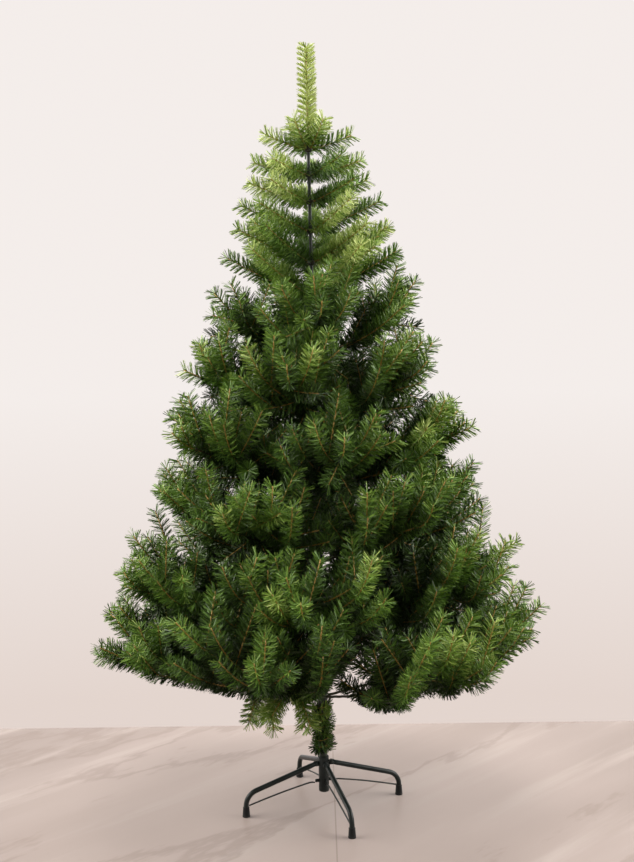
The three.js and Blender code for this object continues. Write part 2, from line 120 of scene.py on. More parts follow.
class Finish:
    """One material: its Principled shader, and a method that adds any other node."""

    def __init__(self, name):
        self.material = bpy.data.materials.new(name)
        self.material.use_nodes = True
        self.tree = self.material.node_tree
        self.shader = self.tree.nodes["Principled BSDF"]

    def feed(self, socket, value):
        if isinstance(value, Shade):
            self.tree.links.new(value.socket, socket)
        else:
            socket.default_value = value

    def node(self, kind, settings, inputs, outlet=0):
        made = self.tree.nodes.new(kind)
        for name, value in settings.items():
            setattr(made, name, value)
        for key, value in inputs.items():
            self.feed(made.inputs[key], value)
        return Shade(self, made.outputs[outlet])

    def place(self):
        """The point's place on the piece, in metres."""
        return self.node("ShaderNodeTexCoord", {}, {}, outlet="Object")

    def noise(self, scale, detail=3.0, roughness=0.5, stretch=(1, 1, 1), turn=0):
        """Cloudy noise from 0 to 1, read at the place turned about Z and then scaled by stretch."""
        spot = self.place()
        if turn:
            about_z = {"rotation_type": "Z_AXIS"}
            spot = self.node("ShaderNodeVectorRotate", about_z, {"Vector": spot, "Angle": turn})
        spot = self.node("ShaderNodeMapping", {}, {"Vector": spot, "Scale": stretch})
        sizes = {"Scale": scale, "Detail": detail, "Roughness": roughness}
        return self.node("ShaderNodeTexNoise", {}, {"Vector": spot, **sizes})

    def mix(self, share, first, second):
        """A colour that goes from the first to the second as share goes from 0 to 1."""
        return self.node("ShaderNodeMix", {"data_type": "RGBA"}, {0: share, 6: first, 7: second}, outlet=2)

    def between(self, value, low, high):
        """0 below low, 1 above high and a smooth rise between them."""
        return self.node("ShaderNodeMapRange", {"interpolation_type": "SMOOTHSTEP"},
                         {"Value": value, "From Min": low, "From Max": high})

    def bump(self, height, depth, strength=1.0):
        """A normal that follows height, with relief of about depth metres."""
        return self.node("ShaderNodeBump", {}, {"Height": height, "Distance": depth, "Strength": strength})

    def set(self, **inputs):
        for name, value in inputs.items():
            self.feed(self.shader.inputs[name.replace("_", " ")], value)
        return self.material


def polished_stone():
    """Pale stone with a lighter patch in the middle, which is painted light that lifts the tree's shadow:
    clouds and pale streaks that all run one way across it, thin darker veins where a noise crosses its
    middle, and the seam between two slabs."""
    finish = Finish("polished stone")
    clouds = finish.noise(1.3, detail=5.0, stretch=(0.4, 2.2, 1), turn=streak_turn)
    streaks = finish.noise(2.3, detail=6.0, roughness=0.6, stretch=(0.22, 2.6, 1), turn=streak_turn)
    veins = finish.noise(0.9, detail=7.0, roughness=0.62, stretch=(0.5, 1.8, 1), turn=streak_turn)
    colour = finish.mix(finish.between(clouds, 0.35, 0.65), stone_colours["base"], stone_colours["cloud"])
    aside = finish.node("ShaderNodeVectorMath", {"operation": "LENGTH"}, {0: finish.place()}, outlet="Value")
    # A lighter patch round the tree's foot: painted light that makes up for the tree's shadow on the floor.
    colour = finish.mix(0.45 * (1 - finish.between(aside, 0.1, 1.0)), colour, stone_colours["painted_light_patch"])
    colour = finish.mix(0.5 * finish.between(streaks, 0.50, 0.66), colour, stone_colours["streak"])
    away = finish.node("ShaderNodeMath", {"operation": "ABSOLUTE"}, {0: veins - 0.5})
    colour = finish.mix(0.32 * (1 - finish.between(away, 0.0, 0.025)), colour, stone_colours["vein"])
    across = finish.node("ShaderNodeSeparateXYZ", {}, {"Vector": finish.place()}, outlet="X")
    to_seam = finish.node("ShaderNodeMath", {"operation": "ABSOLUTE"}, {0: across - seam})
    colour = finish.mix(0.5 * (1 - finish.between(to_seam, 0.0006, 0.0024)), colour, stone_colours["vein"])
    return finish.set(Base_Color=colour, Roughness=0.3, Specular_IOR_Level=0.1)


def make_mesh(name, points, faces, materials, dealt=None, smooth=True):
    """A piece from points in metres, faces of three or four corners, and the material number of each face."""
    mesh = bpy.data.meshes.new(name)
    count, corners = faces.shape
    mesh.vertices.add(len(points))
    mesh.vertices.foreach_set("co", points.astype(np.float32).ravel())
    mesh.loops.add(count * corners)
    mesh.loops.foreach_set("vertex_index", faces.astype(np.int32).ravel())
    mesh.polygons.add(count)
    mesh.polygons.foreach_set("loop_start", np.arange(0, count * corners, corners, dtype=np.int32))
    for material in materials:
        mesh.materials.append(material)
    if dealt is not None:
        mesh.polygons.foreach_set("material_index", dealt.astype(np.int32))
    mesh.polygons.foreach_set("use_smooth", np.full(count, smooth))
    mesh.update(calc_edges=True)
    piece = bpy.data.objects.new(name, mesh)
    bpy.context.scene.collection.objects.link(piece)
    return piece


floor_corners = np.array([[-floor_reach, -floor_reach, 0], [floor_reach, -floor_reach, 0],
                          [floor_reach, floor_edge, 0], [-floor_reach, floor_edge, 0]])
floor = make_mesh("floor", floor_corners, np.array([[0, 1, 2, 3]]), [polished_stone()])
floor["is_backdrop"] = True


# ---- Light ----
# A bright room: light from all round that is stronger from the wall behind and from above than from the
# front, a broad soft window on each side, and a third straight above.
room_light = 0.8
room_slant = (0, 0.36, 0.22)
wall_foot_rises = (-0.30, -0.06)
window_aim = (0, 0, 0.8)
window_colour = (1.0, 0.97, 0.93)
window_lights = {  # place, side and power
    "window_left": ((-2.6, -0.1, 2.0), 2.6, 160),
    "window_right": ((2.6, 0.0, 1.9), 2.6, 156),
    "window_above": ((0.1, 0.1, 3.7), 1.6, 84),
}

world = bpy.data.worlds.new("room")
bpy.context.scene.world = world
world.use_nodes = True
room = world.node_tree
upward = room.nodes.new("ShaderNodeSeparateXYZ")
# The wall's colour darkens towards its foot: painted shade in the corner with the floor.
wall_ramp = room.nodes.new("ShaderNodeValToRGB").color_ramp
for element, colour in zip(wall_ramp.elements, (wall_foot_shade, wall_colour)):
    element.color = colour
rise = room.nodes.new("ShaderNodeMapRange")
for inlet, height in zip(("From Min", "From Max"), wall_foot_rises):
    rise.inputs[inlet].default_value = height
towards = room.nodes.new("ShaderNodeTexCoord").outputs["Generated"]
room.links.new(towards, upward.inputs[0])
room.links.new(upward.outputs["Z"], rise.inputs["Value"])
room.links.new(rise.outputs[0], room.nodes["Color Ramp"].inputs[0])
room.links.new(room.nodes["Color Ramp"].outputs[0], room.nodes["Background"].inputs["Color"])
slanted = room.nodes.new("ShaderNodeVectorMath")
slanted.operation = "DOT_PRODUCT"
slanted.inputs[1].default_value = room_slant
room.links.new(towards, slanted.inputs[0])
lit = room.nodes.new("ShaderNodeMath")
lit.inputs[1].default_value = room_light
room.links.new(slanted.outputs["Value"], lit.inputs[0])
seen = room.nodes.new("ShaderNodeMix")
seen.inputs["B"].default_value = 1.0
room.links.new(room.nodes.new("ShaderNodeLightPath").outputs["Is Camera Ray"], seen.inputs["Factor"])
room.links.new(lit.outputs[0], seen.inputs["A"])
room.links.new(seen.outputs["Result"], room.nodes["Background"].inputs["Strength"])
bpy.context.scene.view_settings.view_transform = "Standard"
for name, (place, size, power) in window_lights.items():
    lamp = bpy.data.lights.new(name, "AREA")
    lamp.size = size
    lamp.energy = power
    lamp.color = window_colour
    light = bpy.data.objects.new(name, lamp)
    light.visible_camera = False
    turn = (Vector(place) - Vector(window_aim)).to_track_quat("Z", "Y")
    light.matrix_world = Matrix.Translation(place) @ turn.to_matrix().to_4x4()
    bpy.context.scene.collection.objects.link(light)


# ---- Hub of the stand ----
# A short steel tube, painted dark, that the pole drops into and a thumb screw clamps. Eight small plates are
# welded to it: the upper four carry the legs on rivets, the lower four the braces. A plug closes its foot.
MM = 0.001
leg_turn = 18.5
hub_radius = 12.5
hub_bore = 10.9
hub_bottom = 37
hub_floor = 45
hub_top = 123
leg_pivot = (21, 106)
brace_pivot = (18, 64)
leg_plate = (16, 3, 13)
brace_plate = (11, 3, 8)
rivet_head = 3.6
paint_colours = ((0.008, 0.011, 0.010, 1), (0.017, 0.022, 0.020, 1))


def rounded(profile, bevel, steps=3):
    """The profile with each inner corner cut to a small quadratic arc, which begins and ends bevel away."""
    points = [np.array(point, float) for point in profile]
    made = [points[0]]
    for before, corner, after in zip(points, points[1:], points[2:]):
        back, ahead = before - corner, after - corner
        start = corner + back * min(0.45, bevel / np.linalg.norm(back))
        end = corner + ahead * min(0.45, bevel / np.linalg.norm(ahead))
        for share in np.linspace(0, 1, steps + 1):
            made.append((1 - share) ** 2 * start + 2 * share * (1 - share) * corner + share**2 * end)
    return np.array(made + [points[-1]])


def welded(points, faces):
    """Points that coincide become one, quads become triangles, and closed-up triangles are dropped."""
    _, first, twin = np.unique(np.round(points, 4), axis=0, return_index=True, return_inverse=True)
    corners = twin.ravel()[faces]
    if corners.shape[1] == 4:
        corners = np.concatenate([corners[:, [0, 1, 2]], corners[:, [0, 2, 3]]])
    a, b, c = corners.T
    return points[first], corners[(a != b) & (b != c) & (a != c)]


def grid_faces(rows, columns):
    """Quads between the rows of a grid whose columns run round and close on themselves."""
    row, column = np.meshgrid(np.arange(rows - 1), np.arange(columns), indexing="ij")
    beside = (column + 1) % columns
    lower, upper = row * columns, (row + 1) * columns
    return np.stack([lower + column, lower + beside, upper + beside, upper + column], axis=-1).reshape(-1, 4)


def turned(profile, sides):
    """A profile of (radius, height) turned about the Z axis: each point goes to (r cos a, r sin a, z)."""
    radius, height = np.asarray(profile, float).T
    angle = np.linspace(0, 2 * np.pi, sides, endpoint=False)
    x = radius[:, None] * np.cos(angle)
    y = radius[:, None] * np.sin(angle)
    z = np.broadcast_to(height[:, None], x.shape)
    return welded(np.stack([x, y, z], axis=-1).reshape(-1, 3), grid_faces(len(radius), sides))


def joined(parts):
    """Several (points, faces) as one."""
    offsets = np.cumsum([0] + [len(points) for points, _ in parts[:-1]])
    faces = [faces + offset for (_, faces), offset in zip(parts, offsets)]
    return np.concatenate([points for points, _ in parts]), np.concatenate(faces)


def spun(part, degrees):
    """The part turned about the Z axis."""
    points, faces = part
    c, s = np.cos(np.radians(degrees)), np.sin(np.radians(degrees))
    return points @ np.array([[c, s, 0], [-s, c, 0], [0, 0, 1]]), faces


def moved(part, offset):
    """The part with the offset added to each point."""
    points, faces = part
    return points + np.asarray(offset, float), faces


def laid(part, axis):
    """A part that was turned about Z laid along X or Y instead, by passing its axes round."""
    points, faces = part
    return points[:, {"x": [2, 0, 1], "y": [1, 2, 0]}[axis]], faces


def add_piece(name, part, material, slot, nodes, **options):
    """Puts a part drawn in millimetres into the scene, in place of the nodes that it stands for."""
    points, faces = part
    materials = material if isinstance(material, list) else [material]
    piece = make_mesh(name, points * MM, faces, materials, **options)
    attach(piece, "root")
    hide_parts(*nodes)


def plate(length, thick, height, bevel=0.8):
    """A flat plate, a superellipse in X and Z: x and z go as cos a and sin a to the power 0.45. Its rim is
    cut back by bevel on both faces."""
    angle = np.linspace(0, 2 * np.pi, 32, endpoint=False)
    power = lambda value: np.sign(value) * np.abs(value) ** 0.45
    x, z = power(np.cos(angle)) * length / 2, power(np.sin(angle)) * height / 2
    inner_x, inner_z = x * (1 - 2 * bevel / length), z * (1 - 2 * bevel / height)
    zero = np.zeros_like(x)
    rows = [(zero, -thick / 2, zero), (inner_x, -thick / 2, inner_z), (x, bevel - thick / 2, z),
            (x, thick / 2 - bevel, z), (inner_x, thick / 2, inner_z), (zero, thick / 2, zero)]
    points = [np.stack([u, np.full_like(u, v), w], axis=-1) for u, v, w in rows]
    return welded(np.concatenate(points), grid_faces(len(rows), 32))


def stand_paint():
    """Stoved dark paint: a fine orange-peel skin, a slow drift in tone, and duller patches from handling."""
    finish = Finish("stoved dark paint")
    drift = finish.noise(22.0, detail=4.0)
    skin = finish.noise(520.0, detail=2.0)
    colour = finish.mix(finish.between(drift, 0.3, 0.7), *paint_colours)
    return finish.set(Base_Color=colour, Roughness=0.22 + 0.2 * drift, Metallic=0.0, Specular_IOR_Level=0.22,
                      Normal=finish.bump(skin, 0.00025, 0.5))


paint = stand_paint()
plug_radius = hub_radius - 0.8
tube_profile = [(0, hub_floor), (hub_bore, hub_floor), (hub_bore, hub_top), (hub_radius, hub_top),
                (hub_radius, hub_bottom + 1), (plug_radius, hub_bottom + 1), (plug_radius, hub_bottom),
                (0, hub_bottom)]
hub_parts = [turned(rounded(tube_profile, 0.7)[::-1], 56)]
rivet_profile = [(0, 8.4), (rivet_head * 0.6, 8.1), (rivet_head, 7.2), (rivet_head, 6.4), (0, 6.4)]
for index in range(4):
    upper = moved(plate(*leg_plate), (leg_pivot[0] - 2, 0, leg_pivot[1]))
    lower = moved(plate(*brace_plate), (brace_pivot[0] - 1.5, 0, brace_pivot[1]))
    heads = []
    for side in (0, 180):
        head = laid(turned(rounded(rivet_profile, 0.4)[::-1], 20), "y")
        heads.append(moved(spun(head, side), (leg_pivot[0], 0, leg_pivot[1])))
    hub_parts += [spun(part, leg_turn + 90 * index) for part in [upper, lower, *heads]]
add_piece("hub_tube", joined(hub_parts), paint, "stand_paint", ["hub"])

# The thumb screw: a shank with a collar and a flat oval wing, turned from the side of the hub.
screw_height = 114
screw_turn = -27
wing = (7.7, 2.6, 11)
wing_place = 20.6
shank = [(0, 9.8), (2.4, 9.8), (2.4, 16), (3.6, 16), (3.6, 17.6), (0, 17.6)]
screw_parts = [moved(laid(turned(rounded(shank, 0.4)[::-1], 20), "x"), (0, 0, screw_height)),
               moved(plate(*wing), (wing_place, 0, screw_height))]
screw = joined([spun(part, screw_turn) for part in screw_parts])


# ---- Legs ----
# Four round steel tubes, riveted to the hub so that they fold up along it. Each runs straight down at a
# slant, bends near its end and drops upright into its rubber foot.
foot_circle = 195
leg_radius = 6
leg_start = hub_radius + 2.4
leg_pinch = 0.82
leg_slope = np.radians(17)
leg_bend = 36
foot_socket = 7
bend_centre_x = foot_circle - leg_bend


def arm_height(x):
    """Height of the straight arm's middle line at a distance from the stand's middle."""
    return leg_pivot[1] - (x - leg_pivot[0]) * np.tan(leg_slope)


bend_centre_z = arm_height(bend_centre_x) - leg_bend / np.cos(leg_slope)


def leg_line():
    """The leg's middle line: a straight arm, an arc that turns from the arm's slope to upright, a drop."""
    turns = np.linspace(leg_slope, np.pi / 2, 18)
    arc = [bend_centre_x, bend_centre_z] + leg_bend * np.stack([np.sin(turns), np.cos(turns)], axis=-1)
    arm_x = np.linspace(leg_start, arc[0, 0], 9)[:-1]
    arm = np.stack([arm_x, arm_height(arm_x)], axis=-1)
    drop = np.array([[foot_circle, bend_centre_z * 0.6], [foot_circle, foot_socket]])
    flat = np.concatenate([arm, arc, drop])
    return np.stack([flat[:, 0], np.zeros(len(flat)), flat[:, 1]], axis=-1)


def swept(line, radius, sides, reference=(0, 1, 0)):
    """A tube along a line: each ring lies across the line's direction, and its radius may differ ring by ring
    or point by point. Both ends close on the line."""
    direction = np.gradient(line, axis=0)
    direction /= np.linalg.norm(direction, axis=1, keepdims=True)
    side = np.cross(direction, np.asarray(reference, float))
    side /= np.linalg.norm(side, axis=1, keepdims=True)
    over = np.cross(direction, side)
    angle = np.linspace(0, 2 * np.pi, sides, endpoint=False)
    wide = np.broadcast_to(np.asarray(radius, float).reshape(len(line), -1), (len(line), sides))
    ring = np.cos(angle)[None, :, None] * side[:, None] + np.sin(angle)[None, :, None] * over[:, None]
    rings = line[:, None] + ring * wide[:, :, None]
    foot, head = (np.repeat(end[:, None], sides, 1) for end in (line[:1], line[-1:]))
    closed = np.concatenate([foot, rings, head])
    return welded(closed.reshape(-1, 3), grid_faces(len(line) + 2, sides))


line = leg_line()
leg_radii = np.full(len(line), float(leg_radius))
leg_radii[0] = leg_pinch * leg_radius
for index in range(4):
    leg = spun(swept(line, leg_radii, 28), leg_turn + 90 * index)
    add_piece(f"leg_tube_{index + 1}", leg, paint, "stand_paint", [f"leg_{index + 1}"])


# ---- Feet ----
# Moulded rubber caps pushed on to the ends of the legs. They flare towards the floor, and have a thicker rim
# below and a lip above.
foot_height = 24
rubber_colours = ((0.006, 0.007, 0.007, 1), (0.018, 0.018, 0.017, 1))


def moulded_rubber():
    """Matt black rubber: a pebbled skin, and a film of dust that thins out upwards from the floor."""
    finish = Finish("moulded rubber")
    skin = finish.noise(700.0, detail=2.0)
    height = finish.node("ShaderNodeSeparateXYZ", {}, {"Vector": finish.place()}, outlet="Z")
    dust = (1 - finish.between(height, 0.0, 0.012)) * finish.noise(160.0, detail=4.0)
    colour = finish.mix(dust, *rubber_colours)
    return finish.set(Base_Color=colour, Roughness=0.4 + 0.2 * skin, Specular_IOR_Level=0.25,
                      Normal=finish.bump(skin, 0.0003, 0.4))


rubber = moulded_rubber()
foot_profile = [(0, 0), (9.0, 0), (9.3, 2.2), (8.9, 3.4), (7.5, foot_height - 3.4), (7.8, foot_height - 2.6),
                (7.7, foot_height - 0.8), (7.0, foot_height), (leg_radius + 0.1, foot_height),
                (leg_radius + 0.1, foot_height - 2), (0, foot_height - 2)]
for index in range(4):
    foot = moved(turned(rounded(foot_profile, 0.5), 36), (foot_circle, 0, 0))
    add_piece(f"rubber_foot_{index + 1}", spun(foot, leg_turn + 90 * index), rubber, "foot_rubber",
              [f"foot_{index + 1}"])


# ---- Braces ----
# Thin steel wires from the lower plates of the hub to the inner side of each leg, which stop it spreading.
# Each end is turned over in a short hook. The thumb screw shares their black finish.
brace_radius = 1.9
brace_bow = 2.2
brace_hook = 4.0
wire_colours = ((0.016, 0.019, 0.017, 1), (0.038, 0.043, 0.038, 1))


def black_wire():
    """Drawn wire, blackened: fine streaks along it and a slight sheen."""
    finish = Finish("blackened wire")
    streaks = finish.noise(300.0, detail=3.0, stretch=(1, 1, 0.2))
    colour = finish.mix(streaks, *wire_colours)
    return finish.set(Base_Color=colour, Metallic=0.3, Roughness=0.34 + 0.2 * streaks)


wire_finish = black_wire()
share = np.linspace(0, 1, 24)
brace_start = np.array([brace_pivot[0] + 5, 0, brace_pivot[1]])
brace_end = np.array([foot_circle - leg_radius - 1.2, 0, bend_centre_z])
brace_line = brace_start + share[:, None] * (brace_end - brace_start)
brace_line[:, 2] += brace_bow * np.sin(np.pi * share) - brace_hook * np.clip(1 - 12 * share, 0, 1) ** 2
for index in range(4):
    brace = spun(swept(brace_line, np.full(len(share), brace_radius), 12), leg_turn + 90 * index)
    add_piece(f"brace_wire_{index + 1}", brace, wire_finish, "wire", [f"brace_{index + 1}"])
add_piece("wing_screw", screw, wire_finish, "wire", ["thumb_screw"])


# ---- Pole ----
# Three steel tubes that plug into each other, painted dark green. A bracket ring is crimped on at each tier
# of boughs. The whole pole leans a little to the left in the hub.
pole_lean = np.radians(0.7)
pole_pivot = (hub_floor + hub_top) / 2
pole_radii = {"lower": 9.5, "middle": 8.0, "upper": 4.0}
pole_joints = (700, 1150, 1575)
collar_reach = 5
tier_base = {"height": 272, "step": 168, "shrink": 4, "rise": 13.5, "rise_step": 3}
tier_counts = [6, 5, 5, 5, 5, 4]
pole_colours = ((0.010, 0.016, 0.010, 1), (0.022, 0.032, 0.020, 1))


def leaned(part):
    """The part turned about the Y axis at the middle of the hub, so that its top moves to the left."""
    points, faces = part
    x, y, z = points.T
    z = z - pole_pivot
    c, s = np.cos(pole_lean), np.sin(pole_lean)
    return np.stack([c * x - s * z, y, s * x + c * z + pole_pivot], axis=-1), faces


def tier_height(tier):
    """Each tier is a step above the last, and each step is shorter than the one below by shrink."""
    return tier_base["height"] + tier * tier_base["step"] - tier_base["shrink"] * tier * (tier - 1) / 2


def pole_paint():
    """Satin dark green paint on tube: vertical drawing lines, and rubbed streaks where boughs scrape it."""
    finish = Finish("satin pole paint")
    lines = finish.noise(240.0, detail=3.0, stretch=(1, 1, 0.03))
    rubs = finish.noise(60.0, detail=5.0, stretch=(1, 1, 0.4))
    colour = finish.mix(finish.between(rubs, 0.45, 0.75), *pole_colours)
    return finish.set(Base_Color=colour, Roughness=0.3 + 0.25 * rubs, Normal=finish.bump(lines, 0.0003, 0.35))


def pole_section(low, high, radius, tiers):
    """A straight tube with a rolled rim at its upper end, and a bracket ring with two lips at each tier, all
    turned from one profile."""
    profile = [(0, low), (radius, low)]
    for tier in tiers:
        middle = tier_height(tier)
        ring = radius + collar_reach
        profile += [(radius, middle - 8), (ring, middle - 7.5), (ring, middle - 5), (ring - 1.6, middle - 4),
                    (ring - 1.6, middle + 4), (ring, middle + 5), (ring, middle + 7.5), (radius, middle + 8)]
    rim = radius + 0.7
    profile += [(radius, high - 9), (rim, high - 7), (rim, high - 0.5), (radius, high), (0, high)]
    return leaned(turned(rounded(profile, 0.6), 40))


pole_finish = pole_paint()
sections = {"lower": (hub_floor + 0.6, pole_joints[0], [0, 1, 2]), "middle": (*pole_joints[:2], [3, 4]),
            "upper": (*pole_joints[1:], [])}
for name, (low, high, tiers) in sections.items():
    tube = pole_section(low, high, pole_radii[name], tiers)
    add_piece(f"pole_tube_{name}", tube, pole_finish, "pole_paint", [f"pole_{name}"])


# ---- Growth rule ----
# Where the boughs, twigs and sprays run. It is the rule of the solids, carried on to finer side twigs. A
# curve is three points: its start, the middle that it bends towards, and its end.
crown_head = 1600
crown_head_reach = 113
crown_flare = 0.3756
lowest_lifts = [-0.04, 0, 0, 0.05, 0.12, 0.03]
bough_reaches = {0: [1, 1, 1, 0.96, 1, 1], 3: [1, 1, 1.08, 1, 1.08], 5: [1, 1, 0.88, 1]}
tier_turns = [15, 50, 20, 66, 38, 5]
azimuth_spread = 8
bough_seed = 1001
whorl_seed = 5000
twigs_per_bough = [10, 10, 9, 8, 7, 6]
first_station = 0.26
last_station = 0.93
standing_twig = {"length": 125, "longer": 30, "pitch": 46, "steeper": 14}
rim_lifts = [-0.08, 0.16, 0.14, 0.02]
stem_sag = 0.03
stem_root_radius = 4.5
stem_gap = 0.3
tip_margin = 20
hanging = {3: [(0.37, 105, 14, 95)], 4: [(0.55, -75, 34, 100), (0.62, 100, 28, 100)]}
whorl_base = {"height": 1225, "step": 80, "shrink": 2.6, "count": 7, "rise": 27, "rise_step": 3}
whorl_fan = {"front": 80, "stagger": 0.1}
whorl_levels = 6
top_rise = {"low": 19, "high": 49, "shorter": 0.72}


def seeded(seed):
    """Numbers from 0 to 1: each state is the last times 16807 modulo 2147483647, and a number is a state over
    2147483647. The first three states are dropped."""
    state = seed
    for _ in range(3):
        state = state * 16807 % 2147483647
    while True:
        state = state * 16807 % 2147483647
        yield state / 2147483647


def polar(azimuth, radius, height):
    """The point at (r cos a, r sin a, height), with the azimuth in degrees."""
    angle = np.radians(azimuth)
    return np.array([radius * np.cos(angle), radius * np.sin(angle), height])


def bowed(start, end, sag):
    """A curve whose middle lies below the straight line by sag times its length."""
    middle = (start + end) / 2
    middle[2] -= sag * np.linalg.norm(end - start)
    return np.stack([start, middle, end])


def curve_points(curve, share):
    """Quadratic curve: (1 - u)^2 start + 2 u (1 - u) middle + u^2 end."""
    u = np.asarray(share, float)[..., None]
    return (1 - u) ** 2 * curve[0] + 2 * u * (1 - u) * curve[1] + u**2 * curve[2]


def curve_directions(curve, share):
    """The curve's direction, of length one: 2 (1 - u)(middle - start) + 2 u (end - middle)."""
    u = np.asarray(share, float)[..., None]
    way = (1 - u) * (curve[1] - curve[0]) + u * (curve[2] - curve[1])
    return way / np.linalg.norm(way, axis=-1, keepdims=True)


def curve_length(curve):
    """The length of eight straight stretches between points of the curve."""
    return np.linalg.norm(np.diff(curve_points(curve, np.linspace(0, 1, 9)), axis=0), axis=1).sum()


def reach_from(root_height, slope):
    """Where a bough that rises at a slope from its root meets the cone of the crown."""
    return (crown_head_reach + crown_flare * (crown_head - root_height)) / (1 + crown_flare * slope)


def shortened(number):
    """A bough's or spray's share of its full reach: 0.95 plus 0.07 times a number from 0 to 1."""
    return 0.95 + 0.07 * number


def pole_radius_at(height):
    """The radius of the section that stands at a height."""
    section = "lower" if height < pole_joints[0] else "middle" if height < pole_joints[1] else "upper"
    return pole_radii[section]


def bough_plan(tier, index):
    """One bough: its stem, and its twigs as (curve, how it grows) in the order that they leave it."""
    draw = seeded(bough_seed + 97 * tier + 13 * index)
    sector = 360 / tier_counts[tier]
    lowest = tier == 0
    root_height = tier_height(tier)
    azimuth = tier_turns[tier] + index * sector + (0 if lowest else azimuth_spread * (next(draw) - 0.5))
    rise = np.radians(tier_base["rise"] + tier * tier_base["rise_step"])
    slope = np.tan(rise) + (lowest_lifts[index] if lowest else 0)
    share = bough_reaches[tier][index] if tier in bough_reaches else 1
    reach = share * reach_from(root_height, np.tan(rise)) * (1 if lowest else shortened(next(draw)))
    root = pole_radius_at(root_height) + collar_reach + stem_gap
    root += stem_root_radius * np.sin(rise - 2 * stem_sag)
    stem_end = polar(azimuth, 0.8 * reach, root_height + slope * (0.8 * reach))
    stem = bowed(polar(azimuth, root, root_height), stem_end, stem_sag)
    twigs = []
    total = twigs_per_bough[tier]
    for k in range(total):
        last = k == total - 1
        station = last_station if last else first_station + 0.62 * k / (total - 1)
        stands = k % 3 == 1 and not last
        a, b, c = next(draw), next(draw), next(draw)
        sideways = (1 if k % 2 else -1) * (0.46 - 0.3 * station) * (0.9 + 0.2 * a)
        fan = 0.1 * (a - 0.5) if last else sideways
        start = curve_points(stem, station)
        if stands:
            length = standing_twig["length"] + standing_twig["longer"] * b
            pitch = np.radians(standing_twig["pitch"] + standing_twig["steeper"] * c)
            end = start + polar(azimuth + 0.5 * fan * sector, length * np.cos(pitch), length * np.sin(pitch))
        else:
            rim = reach * (1 if last else 0.9 + 0.09 * b)
            tip_azimuth = azimuth + fan * sector
            above = 0 if last else rim_lifts[k % 4] + 0.08 * (c - 0.5)
            end = polar(tip_azimuth, rim, root_height + (slope + (max(0, above) if lowest else above)) * rim)
        twigs.append((bowed(start, end, 0.04), "stands" if stands else "reaches"))
    for station, turn, out, down in hanging.get(index, []) if lowest else []:
        start = curve_points(stem, station)
        bend = start + polar(azimuth + turn, 2 * out, 0)
        twigs.append((np.stack([start, bend, start + polar(azimuth + turn, out, -down)]), "hangs"))
    return stem, twigs


def whorl_plan(level):
    """One whorl: its height and its sprays, which are combed aside in front so that the pole shows. The
    topmost has its sprays rise by turns less and more."""
    draw = seeded(whorl_seed + 71 * level)
    height = whorl_base["height"] + level * (whorl_base["step"] - whorl_base["shrink"] * level)
    top = level == whorl_levels - 1
    step = (360 - whorl_fan["front"]) / (whorl_base["count"] - 1)
    sprays = []
    for index in range(whorl_base["count"]):
        turn = index + whorl_fan["stagger"] * (1 if level % 2 else -1) + 0.16 * (next(draw) - 0.5)
        azimuth = whorl_fan["front"] / 2 - 90 + turn * step
        steep = top and index % 2 == 0
        usual = top_rise["low"] if top else whorl_base["rise"] - level * whorl_base["rise_step"]
        rise = (top_rise["high"] if steep else usual) + 4 * (next(draw) - 0.5)
        slope = np.tan(np.radians(rise))
        reach = reach_from(height, slope) * shortened(next(draw)) * (top_rise["shorter"] if steep else 1)
        start = polar(azimuth, pole_radii["upper"] + 2.5, height)
        sprays.append(bowed(start, polar(azimuth, reach, height + slope * reach), 0.05))
    return height, sprays


def part_of(curve, first, last):
    """The stretch of a curve between two shares. Its points are the curve's polar form at (first, first),
    (first, last) and (last, last): (1 - u)(1 - v) start + (u + v - 2 u v) middle + u v end."""
    blend = lambda u, v: (1 - u) * (1 - v) * curve[0] + (u + v - 2 * u * v) * curve[1] + u * v * curve[2]
    return np.stack([blend(first, first), blend(first, last), blend(last, last)])


def depth_in_crown(point):
    """How far a point lies inside the cone of the crown, measured level from the pole."""
    return crown_head_reach + crown_flare * (crown_head - point[2]) - np.hypot(point[0], point[1])


def side_twigs(curve, chance, spacing, length, first, pitches, yaws, last=1.0, drawn_in=0):
    """Finer twigs that leave a twig on alternate sides, between two shares of its length, at yaws to the side
    and pitches upwards in degrees. Each is shortened until it ends inside the cone of the crown, by up to
    drawn_in more than it must."""
    count = int(curve_length(curve) * (last - first) / spacing + 0.5)
    made = []
    for k in range(count):
        u = first + (last - first) * (k + 0.2 + 0.5 * chance.random()) / (count + 0.4)
        direction = curve_directions(curve, u)
        side = np.cross(direction, [0, 0.01, 1])
        side /= np.linalg.norm(side)
        over = np.cross(side, direction)
        turn = np.radians(chance.uniform(*yaws)) * (1 if k % 2 else -1)
        pitch = np.radians(chance.uniform(*pitches))
        way = np.cos(turn) * np.cos(pitch) * direction + np.sin(turn) * np.cos(pitch) * side
        way += np.sin(pitch) * over
        start = curve_points(curve, u)
        size = length * chance.uniform(0.85, 1.12) * (1 - 0.2 * u)
        margin = tip_margin + drawn_in * chance.random()
        while size > 0.4 * length and depth_in_crown(start + size * way) < margin:
            size *= 0.93
        end = start + size * way
        made.append(bowed(start, end, chance.uniform(-0.02, 0.08)))
    return made
